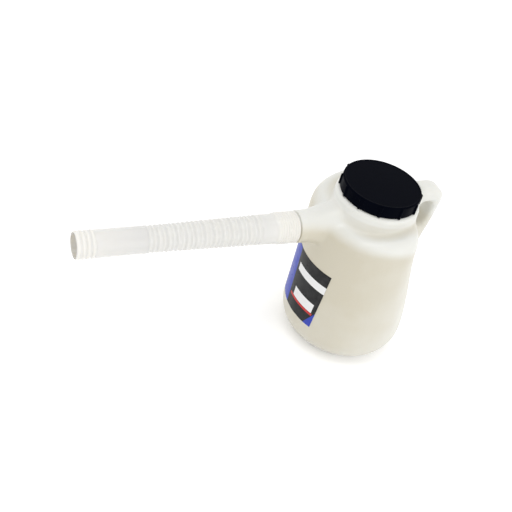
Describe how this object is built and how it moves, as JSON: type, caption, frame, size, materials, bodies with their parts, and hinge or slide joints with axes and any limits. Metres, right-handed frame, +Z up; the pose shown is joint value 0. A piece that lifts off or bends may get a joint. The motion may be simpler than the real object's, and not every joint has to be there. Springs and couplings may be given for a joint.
{
  "type": "oil measuring jug with flexible spout",
  "caption": "Blow-moulded natural plastic jug with a screw lid, a hollow ear handle and a long corrugated pouring spout that bends and turns on its stub.",
  "frame": {"origin": "on the resting face, at the centre of the jug's round base", "axes": "+Z up; -X along the straight spout; +X towards the handle; Y across, with the object symmetric about the XZ plane"},
  "size_m": [0.526, 0.185, 0.277],
  "materials": {
    "natural_plastic": "smooth blow-moulded natural polyethylene, slightly translucent",
    "spout_plastic": "smooth natural polyethylene, slightly translucent",
    "black_plastic": "satin moulded black plastic",
    "foam_liner": "white foam sealing disc",
    "label_film": "printed self-adhesive film with plain colour blocks"
  },
  "bodies": {
    "jug": {"jug_body": "natural_plastic", "label": "label_film"},
    "seal": {"lid_liner": "foam_liner"},
    "lid": {"screw_lid": "black_plastic"},
    "spout_root": {"spout_collar": "spout_plastic"},
    "bellows_01": {"bellows_link_01": "spout_plastic"},
    "bellows_02": {"bellows_link_02": "spout_plastic"},
    "bellows_03": {"bellows_link_03": "spout_plastic"},
    "bellows_04": {"bellows_link_04": "spout_plastic"},
    "bellows_05": {"bellows_link_05": "spout_plastic"},
    "bellows_06": {"bellows_link_06": "spout_plastic"},
    "bellows_07": {"bellows_link_07": "spout_plastic"},
    "bellows_08": {"bellows_link_08": "spout_plastic"},
    "bellows_09": {"bellows_link_09": "spout_plastic"},
    "bellows_10": {"bellows_link_10": "spout_plastic"},
    "bellows_11": {"bellows_link_11": "spout_plastic"},
    "bellows_12": {"bellows_link_12": "spout_plastic"},
    "spout_tip": {"spout_tip": "spout_plastic"}
  },
  "joints": [
    {"name": "lid_lift", "type": "slide", "parent": "jug", "child": "seal", "axis": [0, 0, 1], "range_m": [0, 0.06]},
    {"name": "lid_turn", "type": "hinge", "parent": "seal", "child": "lid", "pos_m": [-0.014, 0, 0.268], "axis": [0, 0, 1], "continuous": true},
    {"name": "spout_turn", "type": "hinge", "parent": "jug", "child": "spout_root", "pos_m": [-0.149, 0, 0.211], "axis": [1, 0, 0], "continuous": true},
    {"name": "bend_00", "type": "hinge", "parent": "spout_root", "child": "bellows_01", "pos_m": [-0.19, 0, 0.211], "axis": [0, 1, 0], "range_deg": [-6, 6]},
    {"name": "bend_01", "type": "hinge", "parent": "bellows_01", "child": "bellows_02", "pos_m": [-0.2024, 0, 0.211], "axis": [0, 1, 0], "range_deg": [-6, 6]},
    {"name": "bend_02", "type": "hinge", "parent": "bellows_02", "child": "bellows_03", "pos_m": [-0.2148, 0, 0.211], "axis": [0, 1, 0], "range_deg": [-6, 6]},
    {"name": "bend_03", "type": "hinge", "parent": "bellows_03", "child": "bellows_04", "pos_m": [-0.2272, 0, 0.211], "axis": [0, 1, 0], "range_deg": [-6, 6]},
    {"name": "bend_04", "type": "hinge", "parent": "bellows_04", "child": "bellows_05", "pos_m": [-0.2396, 0, 0.211], "axis": [0, 1, 0], "range_deg": [-6, 6]},
    {"name": "bend_05", "type": "hinge", "parent": "bellows_05", "child": "bellows_06", "pos_m": [-0.252, 0, 0.211], "axis": [0, 1, 0], "range_deg": [-6, 6]},
    {"name": "bend_06", "type": "hinge", "parent": "bellows_06", "child": "bellows_07", "pos_m": [-0.2644, 0, 0.211], "axis": [0, 1, 0], "range_deg": [-6, 6]},
    {"name": "bend_07", "type": "hinge", "parent": "bellows_07", "child": "bellows_08", "pos_m": [-0.2768, 0, 0.211], "axis": [0, 1, 0], "range_deg": [-6, 6]},
    {"name": "bend_08", "type": "hinge", "parent": "bellows_08", "child": "bellows_09", "pos_m": [-0.2892, 0, 0.211], "axis": [0, 1, 0], "range_deg": [-6, 6]},
    {"name": "bend_09", "type": "hinge", "parent": "bellows_09", "child": "bellows_10", "pos_m": [-0.3016, 0, 0.211], "axis": [0, 1, 0], "range_deg": [-6, 6]},
    {"name": "bend_10", "type": "hinge", "parent": "bellows_10", "child": "bellows_11", "pos_m": [-0.314, 0, 0.211], "axis": [0, 1, 0], "range_deg": [-6, 6]},
    {"name": "bend_11", "type": "hinge", "parent": "bellows_11", "child": "bellows_12", "pos_m": [-0.3264, 0, 0.211], "axis": [0, 1, 0], "range_deg": [-6, 6]},
    {"name": "bend_12", "type": "hinge", "parent": "bellows_12", "child": "spout_tip", "pos_m": [-0.3388, 0, 0.211], "axis": [0, 1, 0], "range_deg": [-6, 6]}
  ],
  "couplings": [
    {"joint": "bend_01", "follows": "bend_00", "ratio": 1},
    {"joint": "bend_02", "follows": "bend_00", "ratio": 1},
    {"joint": "bend_03", "follows": "bend_00", "ratio": 1},
    {"joint": "bend_04", "follows": "bend_00", "ratio": 1},
    {"joint": "bend_05", "follows": "bend_00", "ratio": 1},
    {"joint": "bend_06", "follows": "bend_00", "ratio": 1},
    {"joint": "bend_07", "follows": "bend_00", "ratio": 1},
    {"joint": "bend_08", "follows": "bend_00", "ratio": 1},
    {"joint": "bend_09", "follows": "bend_00", "ratio": 1},
    {"joint": "bend_10", "follows": "bend_00", "ratio": 1},
    {"joint": "bend_11", "follows": "bend_00", "ratio": 1},
    {"joint": "bend_12", "follows": "bend_00", "ratio": 1}
  ]
}
